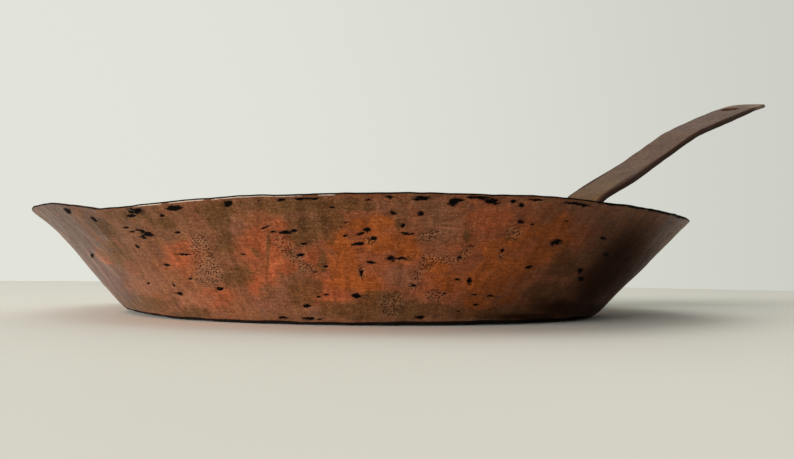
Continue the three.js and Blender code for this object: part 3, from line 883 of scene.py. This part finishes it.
def raise_shell(settings):
    """The copper sheet: flat base, flared wall, lip and filed rim, with its hammer marks."""
    pan = settings.pan
    section = WallSection(pan)
    rim_along = section.along_at(section.rim_height, 0)
    outside = section.layer(0, section.rim_edge(0), *MARKED_ROWS)
    inside = section.layer(pan.sheet, section.rim_edge(1), *PLAIN_ROWS)[::-1]
    rim = section.filed_rim()
    rows = np.array(outside + rim + inside)
    points, azimuth, row = turned_points(rows, SHELL_STEPS)
    along = rows[row, 2]
    is_outside = row < len(outside) + len(rim) // 2
    points = shape_by_hand(points, azimuth, pan)
    piece = add_piece("copper_pan_shell", points, turned_faces(len(rows), SHELL_STEPS),
                      hammered_copper(settings.colours, rim_along), "pan_body")

    view = PhotoView(settings.stage)
    pixels = view.pixels(points)
    seen = smoothstep(*MARKS_FADE, view.faced(points, read_points(piece.data, "normal")))
    rng = np.random.default_rng(MARK_SEED)
    fields = {}
    for name, (marks, count, size) in MARK_KINDS.items():
        field = seen * seen_field(pixels, marks)
        field += (1 - seen) * unseen_field(section, rng, count, size, azimuth, along)
        fields[name] = np.where(is_outside, field, 0)
        paint(piece, name, fields[name])
    paint(piece, "from_rim", np.maximum(rim_along - along, 0))
    paint(piece, "rim", rows[row, 3])
    unrolled = [np.cos(azimuth) * SHEET_RADIUS, np.sin(azimuth) * SHEET_RADIUS, along]
    paint(piece, "sheet", np.stack(unrolled, axis=-1))

    dents = hammer_marks(points, pan.dent_spacing) * pan.dent_depth
    depth = np.where(is_outside, dents + fields["burnt"] * BURNT_DEPTH, 0)
    push_out(piece, -depth * smoothstep(0, FULL_DENTS, rim_along - along))


# Wear of the tin in the pan's middle and at its upper edge, and how far each spreads
MIDDLE_WEAR = 0.55
MIDDLE_SPREAD = 60 * MM
EDGE_WEAR = 0.75
EDGE_SPREAD = 2.5 * MM
# Wipe marks: how often they change on the way round, and their width up the wall
WIPE_CHANGE = 1.6
WIPE_WIDTH = 2.2 * MM
TIN_DENT = 0.08 * MM


def wipe_lining(settings):
    """The tin inside: a thin skin that follows the copper and stops short of the rim."""
    pan = settings.pan
    section = WallSection(pan)
    top = section.length - pan.tin_drop
    outer_depth = pan.sheet + pan.tin_gap
    copper_side = section.layer(outer_depth, top, *PLAIN_ROWS)
    food_side = section.layer(outer_depth + pan.tin, top, *SHOWN_TIN_ROWS)[::-1]
    rows = np.array(copper_side + food_side)
    points, azimuth, row = turned_points(rows, LINING_STEPS)
    along = rows[row, 2]
    points = shape_by_hand(points, azimuth, pan)
    piece = add_piece("tin_lining_skin", points, turned_faces(len(rows), LINING_STEPS),
                      wiped_tin(settings.colours), "tin_lining")
    middle_wear = MIDDLE_WEAR * bell(np.hypot(points[:, 0], points[:, 1]), MIDDLE_SPREAD)
    paint(piece, "wear", middle_wear + EDGE_WEAR * bell(top - along, EDGE_SPREAD))
    wipe = [np.cos(azimuth) * WIPE_CHANGE, np.sin(azimuth) * WIPE_CHANGE, along / WIPE_WIDTH]
    paint(piece, "wipe", np.stack(wipe, axis=-1))
    marks = hammer_marks(points, pan.dent_spacing)
    is_food_side = row >= len(copper_side)
    push_out(piece, np.where(is_food_side, -TIN_DENT * marks, 0))


# The tip's outline: 2 is a half circle, and more is squarer
TIP_SQUARENESS = 4


class StrapLine:
    """The strap's upper face from the palm's toe to the tip, and its width on the way."""

    def __init__(self, settings):
        strap = settings.strap
        self.strap = strap
        self.section = WallSection(settings.pan)
        self.toe_radius = strap.rivet_radius + strap.palm_margin
        row_gap = strap.rivet_pitch * math.sin(math.pi / 3)
        toe_along = self.section.length - strap.rivet_drop - row_gap - self.toe_radius
        self.start = self.section.at(toe_along, -strap.palm_gap)
        self.shoulder = self.toe_radius + row_gap
        self.rim = self.section.length - toe_along
        self.neck = self.rim + strap.shoulder_length
        neck_arc = strap.neck_bend * (self.section.slope - strap.grip_climb)
        tip_arc = strap.tip_bend * (strap.grip_climb - strap.tip_climb)
        self.runs = ((self.rim + strap.neck_length, 0), (neck_arc, strap.neck_bend),
                     (strap.grip_length, 0), (tip_arc, strap.tip_bend))
        self.length = sum(run for run, _ in self.runs)

    def at(self, travel):
        """The (x, z, heading) of the upper face at a distance from the toe."""
        x, z = self.start
        heading = self.section.slope
        for run, radius in self.runs:
            part = min(travel, run)
            if radius:
                turned = heading - part / radius
                x += radius * (math.sin(heading) - math.sin(turned))
                z -= radius * (math.cos(heading) - math.cos(turned))
                heading = turned
            else:
                x += part * math.cos(heading)
                z += part * math.sin(heading)
            travel -= part
        return x, z, heading

    def half_width(self, travel):
        """Half the width: a round toe, the palm, the neck, a widening grip and the tip."""
        toe = self.toe_radius
        palm = self.strap.rivet_pitch / 2 + toe
        neck = self.strap.neck_width / 2
        end = self.strap.grip_width / 2
        from_tip = self.length - travel
        if travel < toe:
            return math.sqrt(max(toe ** 2 - (toe - travel) ** 2, 0))
        if travel < self.shoulder:
            return toe + (palm - toe) * smoothstep(toe, self.shoulder, travel)
        if travel < self.neck:
            return palm + (neck - palm) * smoothstep(self.shoulder, self.neck, travel)
        if from_tip < end:
            return end * (1 - min(1 - from_tip / end, 1) ** TIP_SQUARENESS) ** (1 / TIP_SQUARENESS)
        share = (travel - self.neck) / (self.length - end - self.neck)
        return neck + (end - neck) * share


# Hand work on the strap: distance past the rim, spread and rise of its line, all in millimetres
STRAP_RISES = ((48, 14, 0.3), (98, 36, -1.0), (158, 15, 0.6), (195, 35, -0.4), (264, 36, 1.3))
# and where its edges spread: distance past the rim, spread and added half width
STRAP_BULGES = ((62, 30, 2.6), (200, 45, 0.7))
# Before and past the rim, where the palm leaves the wall's curve and where the strap lies flat
ROUND_UNTIL = 3 * MM
FLAT_FROM = 22 * MM
# Past the rim, where hammer marks reach their full depth, and that depth
HAMMERED_FROM = 25 * MM
FACE_DENT = 0.22 * MM
FACE_DENT_SIZE = 11 * MM
EDGE_WAVE = 16 * MM
# Apart in the noise, so that the two edges wander on their own
EDGES_APART = 5
# The wander is a share of the half width, but of no less than this
LEAST_HALF_WIDTH = 4 * MM
# Length of the tip that was drawn out thin, and of the tip whose edges have lost their scale
THIN_TIP = 60 * MM
CLEAN_TIP = 60 * MM
# Points across a flat face and round a rounded edge of the strap's section
FACE_POINTS = 14
EDGE_POINTS = 4
# Of the half width and the thickness, the most that the edge's rounding may take
ROUND_SHARES = (0.9, 0.45)
# Stations round the toe and the tip, the first one's turn, and stations between them
END_STATIONS = 14
FIRST_TURN = 0.06
MIDDLE_STATIONS = 230
# Wear towards the tip, and tarnish past the rim: strength or place, and spread
TIP_WEAR = 0.4
TIP_WEAR_SPREAD = 40 * MM
TARNISH_PLACE = 34 * MM
TARNISH_SPREAD = 42 * MM
# Scale and painted shade in the hole: how far from its wall it ends, and where it is full
HOLE_SCALE_SHADE = (1.4 * MM, 0.4 * MM)
# Scale and painted shade on the strap's sides: from and to which share of the half width, which counts as
# no less than this
EDGE_SCALE_SHADE = (0.9, 0.98)
LEAST_SHADED_HALF = 3 * MM


def hand_work(line, travel, bumps):
    """The sum of some bumps at a distance along the strap."""
    return sum(bell(travel - line.rim - at * MM, wide * MM) * rise * MM for at, wide, rise in bumps)


def strap_loop(half_width, thickness, edge_round):
    """The strap's section as (side, depth) points: a flat bar with rounded edges."""
    edge = min(edge_round, half_width * ROUND_SHARES[0], thickness * ROUND_SHARES[1])
    side = half_width - edge
    loop = []
    corners = ((side, edge, 90), (side, thickness - edge, 0),
               (-side, thickness - edge, -90), (-side, edge, -180))
    for index, (middle, depth, start) in enumerate(corners):
        for i in range(EDGE_POINTS + 1):
            turned = math.radians(start - 90 * i / EDGE_POINTS)
            loop.append((middle + edge * math.cos(turned), depth - edge * math.sin(turned)))
        if index in (1, 3):
            level = 0 if index == 3 else thickness
            loop.extend((middle - 2 * middle * i / FACE_POINTS, level) for i in range(1, FACE_POINTS))
    return loop


def strap_stations(line):
    """Distances along the strap: closer together round the toe and the tip."""
    turns = np.linspace(FIRST_TURN, math.pi / 2, END_STATIONS)
    first = line.toe_radius * (1 - np.cos(turns))
    last = line.length - line.strap.grip_width / 2 * (1 - np.cos(turns[::-1]))
    middle = np.linspace(first[-1], last[0], MIDDLE_STATIONS)[1:-1]
    return np.concatenate([first, middle, last])


def strap_section(line, travel):
    """Points round the strap at a distance along it, hammered, twisted and laid round the wall."""
    strap = line.strap
    x, z, heading = line.at(travel)
    z += hand_work(line, travel, STRAP_RISES)
    flat = smoothstep(line.rim - ROUND_UNTIL, line.rim + FLAT_FROM, travel)
    free = smoothstep(line.rim, line.rim + HAMMERED_FROM, travel)
    twist = strap.tip_twist * smoothstep(line.rim, line.length, travel)
    half = line.half_width(travel) * (1 + hand_work(line, travel, STRAP_BULGES) / strap.neck_width * 2)
    thinned = strap.tip_thinning * smoothstep(line.length - THIN_TIP, line.length, travel)
    points = []
    for side, depth in strap_loop(half, strap.thickness * (1 - thinned), strap.edge_round):
        edge_place = Vector((travel / EDGE_WAVE, math.copysign(EDGES_APART, side), 0))
        side *= 1 + noise.noise(edge_place) * strap.edge_wander / max(half, LEAST_HALF_WIDTH)
        face_place = Vector((travel / FACE_DENT_SIZE, side / FACE_DENT_SIZE, depth / MM))
        depth += noise.noise(face_place) * FACE_DENT * free
        around = math.asin(side / x) * (1 - flat)
        lift = side * math.sin(twist)
        out = depth * math.sin(heading)
        points.append((
            x - x * (1 - math.cos(around)) + out * math.cos(around) - lift * math.sin(heading),
            side * math.cos(twist) + out * math.sin(around),
            z - depth * math.cos(heading) + lift * math.cos(heading)))
    return points


def forge_handle(settings):
    """The strap: its palm lies round the wall, and its far end has the hanging hole."""
    strap = settings.strap
    line = StrapLine(settings)
    stations = strap_stations(line)
    sections = [strap_section(line, travel) for travel in stations]
    loop_count = len(sections[0])
    last_loop = (len(stations) - 1) * loop_count
    faces = []
    for low in range(0, last_loop, loop_count):
        for j in range(loop_count):
            k = (j + 1) % loop_count
            high = low + loop_count
            faces.append((low + j, low + k, high + k, high + j))
    faces.append(tuple(range(loop_count))[::-1])
    faces.append(tuple(range(last_loop, last_loop + loop_count)))
    material = forged_copper(settings.colours, "forged_copper_brown_strap", settings.colours.handle,
                             settings.colours.handle_wear)
    piece = add_piece("strap_handle", sum(sections, []), faces, material, "handle")
    face_outward(piece)
    punch_hole(piece, line, strap)

    made = read_points(piece.data, "co")
    centre_x = np.array([line.at(station)[0] for station in stations])
    half = np.array([line.half_width(station) for station in stations])
    travel = np.interp(made[:, 0], centre_x, stations)
    edge = np.abs(made[:, 1]) / np.maximum(np.interp(travel, stations, half), LEAST_SHADED_HALF)
    paint(piece, "wear", TIP_WEAR * bell(line.length - travel, TIP_WEAR_SPREAD))
    paint(piece, "tarnish", bell(travel - line.rim - TARNISH_PLACE, TARNISH_SPREAD))
    # The strap's sides and the hole's wall get dark scale that also stands for painted shade
    from_hole = np.hypot(travel - (line.length - strap.hole_inset), made[:, 1] - strap.hole_side)
    in_hole = smoothstep(*(strap.hole_radius + reach for reach in HOLE_SCALE_SHADE), from_hole)
    on_edge = smoothstep(*EDGE_SCALE_SHADE, edge) * smoothstep(line.length, line.length - CLEAN_TIP, travel)
    paint(piece, "scale_and_shade", np.maximum(on_edge, in_hole))


def face_outward(piece):
    """Turns all faces of a closed mesh to its outside."""
    shape = bmesh.new()
    shape.from_mesh(piece.data)
    bmesh.ops.recalc_face_normals(shape, faces=shape.faces)
    shape.to_mesh(piece.data)
    shape.free()


# The punch's flare at each face, in millimetres: how much wider than the hole it is, and how far out
# from the flare's start, which lies inside the face by the depth below
PUNCH_FLARE = ((0.9, 2.2), (0.5, 1.2), (0.18, 0.5), (0.04, 0.0))
FLARE_DEPTH = 0.9
PUNCH_SPARE = 4 * MM
PUNCH_STEPS = 48
SHARP_EDGE = math.radians(50)


def punch_hole(piece, line, strap):
    """Cuts the hanging hole with a waisted punch, so that its edges come out rounded."""
    x, z, heading = line.at(line.length - strap.hole_inset)
    half = strap.thickness / 2
    profile = [(strap.hole_radius + PUNCH_SPARE, half + PUNCH_SPARE)]
    profile += [(strap.hole_radius + flare * MM, half + (lift - FLARE_DEPTH) * MM)
                for flare, lift in PUNCH_FLARE]
    rows = [(r, -h) for r, h in profile] + [(r, h) for r, h in profile[::-1]]
    points, _, _ = turned_points(np.array(rows), PUNCH_STEPS)
    punch = new_object("hole_punch", points, turned_faces(len(rows), PUNCH_STEPS))
    way_in = Vector((math.sin(heading), 0, -math.cos(heading)))
    punch.matrix_world = (Matrix.Translation(Vector((x, strap.hole_side, z)) + way_in * half)
                          @ Matrix.Rotation(-heading, 4, "Y"))
    face_outward(punch)
    cut = piece.modifiers.new("hanging_hole", "BOOLEAN")
    cut.operation = "DIFFERENCE"
    cut.solver = "EXACT"
    cut.object = punch
    bpy.context.view_layer.update()
    graph = bpy.context.evaluated_depsgraph_get()
    cut_mesh = bpy.data.meshes.new_from_object(piece.evaluated_get(graph))
    piece.modifiers.clear()
    piece.data = cut_mesh
    cut_mesh.name = piece.name
    cut_mesh.shade_smooth()
    cut_mesh.set_sharp_from_angle(angle=SHARP_EDGE)
    bpy.data.objects.remove(punch)


RIVET_NODES = ("rivet_upper_left", "rivet_upper_right", "rivet_lower")
RIVET_STEPS = 64
HEAD_ROWS = 16
# A head's underside: how thick its edge is below the dome, and its share of the head's radius
HEAD_SKIRT = 0.3 * MM
SKIRT_SHARE = 0.96
# Peening: the size of its unevenness, its share of the head, a rivet's pattern and the step to the next
PEEN_SIZE = 3.4 * MM
PEEN_SHARE = 0.02
PEEN_PATTERN = 11.0
PATTERN_STEP = 7
FACET_SIZE = 4.5 * MM
FACET_DEPTH = 0.18 * MM
# Wear on the crown, and scale low on the head: how strong, and up to which share of its height
CROWN_WEAR = 0.4
SKIRT_SCALE = 0.8
SCALED_SHARE = 0.3


def set_rivets(settings):
    """Three rivets with peened heads on the palm and inside the pan."""
    strap = settings.strap
    section = WallSection(settings.pan)
    material = forged_copper(settings.colours, "peened_copper_rivet", settings.colours.rivet,
                             settings.colours.handle_wear)
    seat = rivet_half_length(settings, section) - strap.rivet_height
    head = [(strap.shank_radius, seat - HEAD_SKIRT), (strap.rivet_radius * SKIRT_SHARE, seat - HEAD_SKIRT)]
    head += [(strap.rivet_radius * math.cos(t), seat + strap.rivet_height * math.sin(t))
             for t in np.linspace(0, math.pi / 2, HEAD_ROWS)[:-1]]
    rows = np.array([(r, -h) for r, h in head[::-1]] + head)
    for index, node in enumerate(RIVET_NODES):
        low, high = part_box(node)
        middle = (low + high) / 2
        azimuth = math.atan2(middle.y, middle.x)
        out = Vector((math.sin(section.slope) * math.cos(azimuth),
                      math.sin(section.slope) * math.sin(azimuth), -math.cos(section.slope)))
        points, _, _ = turned_points(rows, RIVET_STEPS)
        peened = rough_noise(points, PEEN_SIZE, PEEN_PATTERN + PATTERN_STEP * index)
        faceted = hammer_marks(points + index, FACET_SIZE)
        points *= (1 + PEEN_SHARE * peened)[:, None]
        placed = [middle + out.to_track_quat("Z", "Y") @ Vector(p) for p in points]
        piece = add_piece(node.replace("rivet", "peened_rivet"), placed,
                          turned_faces(len(rows), RIVET_STEPS), material, node)
        push_out(piece, -FACET_DEPTH * faceted)
        crown = np.clip((np.abs(points[:, 2]) - seat) / strap.rivet_height, 0, 1)
        paint(piece, "wear", CROWN_WEAR * crown)
        paint(piece, "scale_and_shade", SKIRT_SCALE * (1 - smoothstep(0, SCALED_SHARE, crown)))


def rivet_half_length(settings, section):
    """Half a rivet's length, from the middle to the top of a head."""
    pan, strap = settings.pan, settings.strap
    lining_depth = pan.sheet + pan.tin_gap + pan.tin
    wall_curve = section.at(section.length / 2, lining_depth).x / math.sin(section.slope)
    sag = strap.rivet_radius ** 2 / (2 * wall_curve)
    grip = strap.thickness + strap.palm_gap + lining_depth + 2 * strap.seat_gap + sag
    return grip / 2 + strap.rivet_height


# Stage, in metres

FLOOR_RADIUS = 0.85
FLOOR_MIDDLE = 0.02
FLOOR_RINGS = 24
FLOOR_STEPS = 96
CLIP_START = 5 * MM
# Lamps: how far to the camera's right, towards the camera and up they are; width and height; colour
WINDOW_LIGHT = ((-7.2, 6.9, 1.9), (8.0, 3.3), "fffbf5")
ROOM_FILL = ((-0.6, 0.2, 1.4), (1.4, 1.4), "fffaf2")
# The way to the room's bright side, by the camera's right and towards the camera. Between two turns
# to that side, as cosines, its light and its walls go from a low to a high share of their strength
BRIGHT_SIDE = (-0.6, -0.8)
SKY_TURNS = (-0.8, 0.9)
SKY_SHARES = (0.05, 2)
WALL_TURNS = (0.3, 1)
WALL_SHARES = (0.82, 1.04)


def lay_stage(settings):
    """The table top, the camera at the photo's place, the window light and the pale surroundings."""
    stage = settings.stage
    view = PhotoView(stage)
    right, _, towards = view.rotation.col
    lay_table(settings.colours)
    set_camera(stage, view)
    add_lamp("window_light", right, towards, WINDOW_LIGHT, stage.key_power)
    add_lamp("room_fill", right, towards, ROOM_FILL, stage.fill_power)
    light_room(right * BRIGHT_SIDE[0] + towards * BRIGHT_SIDE[1], stage.sky, settings.colours.backdrop)
    bpy.context.scene.view_settings.view_transform = "Standard"


def lay_table(colours):
    """A round, flat table top."""
    radii = np.geomspace(FLOOR_MIDDLE, FLOOR_RADIUS, FLOOR_RINGS)
    points, _, _ = turned_points(np.array([(r, 0) for r in radii]), FLOOR_STEPS)
    last_pole = FLOOR_RINGS * FLOOR_STEPS + 1
    faces = [f[::-1] for f in turned_faces(FLOOR_RINGS, FLOOR_STEPS) if last_pole not in f]
    floor = new_object("table_top", points[:-1], faces)
    floor.data.materials.append(painted_table(colours))


def set_camera(stage, view):
    """The camera that the photo was fitted with."""
    scene = bpy.context.scene
    lens = bpy.data.cameras.new("photo_camera")
    lens.sensor_fit = "HORIZONTAL"
    lens.sensor_width = SENSOR_WIDTH_MM
    lens.lens = stage.focal_pixels * SENSOR_WIDTH_MM / PHOTO_WIDTH
    lens.clip_start = CLIP_START
    camera = bpy.data.objects.new("photo_camera", lens)
    camera.matrix_world = Matrix.Translation(view.place) @ view.rotation.to_4x4()
    scene.collection.objects.link(camera)
    scene.camera = camera


def add_lamp(name, right, towards, lamp_form, power):
    """A soft lamp, so wide and so high, that points at the pan."""
    (across, near, up), size, hex_code = lamp_form
    place = right * across + towards * near + Vector((0, 0, up))
    lamp = bpy.data.lights.new(name, "AREA")
    lamp.shape = "RECTANGLE"
    lamp.size, lamp.size_y = size
    lamp.energy = power
    lamp.color = linear(hex_code)
    holder = bpy.data.objects.new(name, lamp)
    holder.location = place
    holder.rotation_euler = (-place).to_track_quat("-Z", "Y").to_euler()
    bpy.context.scene.collection.objects.link(holder)


def light_room(bright_way, sky, backdrop):
    """Pale walls, as the camera and the gloss of the metal see them, and the soft light they give."""
    world = bpy.data.worlds.new("pale_room")
    bpy.context.scene.world = world
    world.use_nodes = True
    tree = world.node_tree
    tree.nodes.clear()
    way = add_node(tree, "TexCoord", give="Generated")
    turn = add_node(tree, "VectorMath", (way, bright_way), "Value", operation="DOT_PRODUCT")
    light = mask(tree, turn, *SKY_TURNS, *(sky * share for share in SKY_SHARES))
    wall = mask(tree, turn, *WALL_TURNS, *WALL_SHARES)
    path = add_node(tree, "LightPath").node.outputs
    shown = path["Is Camera Ray"]
    for ray in ("Is Glossy Ray", "Is Transmission Ray"):
        shown = add_node(tree, "Math", (shown, path[ray]), operation="MAXIMUM")
    strength = add_node(tree, "MapRange", (shown, 0, 1, light, wall))
    room = add_node(tree, "Background", {"Color": opaque(backdrop), "Strength": strength})
    add_node(tree, "OutputWorld", {"Surface": room})


# Add-on

class COPPERPAN_OT_raise_shell(Operator):
    """Raise the copper sheet with its lip, hammer marks and old skin"""

    bl_idname = "copper_pan.raise_shell"
    bl_label = "Raise Copper Shell"

    def execute(self, context):
        raise_shell(context.scene.copper_pan)
        return {"FINISHED"}


class COPPERPAN_OT_wipe_lining(Operator):
    """Wipe the tin lining over the inside"""

    bl_idname = "copper_pan.wipe_lining"
    bl_label = "Wipe Tin Lining"

    def execute(self, context):
        wipe_lining(context.scene.copper_pan)
        return {"FINISHED"}


class COPPERPAN_OT_forge_handle(Operator):
    """Forge the strap handle and punch its hanging hole"""

    bl_idname = "copper_pan.forge_handle"
    bl_label = "Forge Strap Handle"

    def execute(self, context):
        forge_handle(context.scene.copper_pan)
        return {"FINISHED"}


class COPPERPAN_OT_set_rivets(Operator):
    """Set the three rivets that hold the handle"""

    bl_idname = "copper_pan.set_rivets"
    bl_label = "Set Rivets"

    def execute(self, context):
        set_rivets(context.scene.copper_pan)
        return {"FINISHED"}


class COPPERPAN_OT_lay_stage(Operator):
    """Lay the table top, and set the camera and the lamps"""

    bl_idname = "copper_pan.lay_stage"
    bl_label = "Lay Stage"

    def execute(self, context):
        lay_stage(context.scene.copper_pan)
        return {"FINISHED"}


OPERATORS = (COPPERPAN_OT_raise_shell, COPPERPAN_OT_wipe_lining, COPPERPAN_OT_forge_handle,
             COPPERPAN_OT_set_rivets, COPPERPAN_OT_lay_stage)


class COPPERPAN_PT_sidebar(Panel):
    """Lists the pan's pieces, sizes and colours"""

    bl_label = "Copper Pan"
    bl_idname = "COPPERPAN_PT_sidebar"
    bl_space_type = "VIEW_3D"
    bl_region_type = "UI"
    bl_category = "Copper Pan"

    def draw(self, context):
        settings = context.scene.copper_pan
        for operator in OPERATORS:
            self.layout.operator(operator.bl_idname)
        for group in (settings.pan, settings.strap, settings.colours, settings.stage):
            column = self.layout.column(align=True)
            for name in group.bl_rna.properties.keys():
                if name not in ("rna_type", "name"):
                    column.prop(group, name)


CLASSES = (CopperPanSizes, StrapHandleSizes, CopperPanColours, PhotoStage, CopperPanSettings,
           *OPERATORS, COPPERPAN_PT_sidebar)


def register():
    for kind in CLASSES:
        bpy.utils.register_class(kind)
    bpy.types.Scene.copper_pan = PointerProperty(type=CopperPanSettings)


def unregister():
    del bpy.types.Scene.copper_pan
    for kind in reversed(CLASSES):
        bpy.utils.unregister_class(kind)


def main():
    register()
    bpy.ops.copper_pan.lay_stage()
    bpy.ops.copper_pan.raise_shell()
    bpy.ops.copper_pan.wipe_lining()
    bpy.ops.copper_pan.forge_handle()
    bpy.ops.copper_pan.set_rivets()


if __name__ == "__main__":
    main()
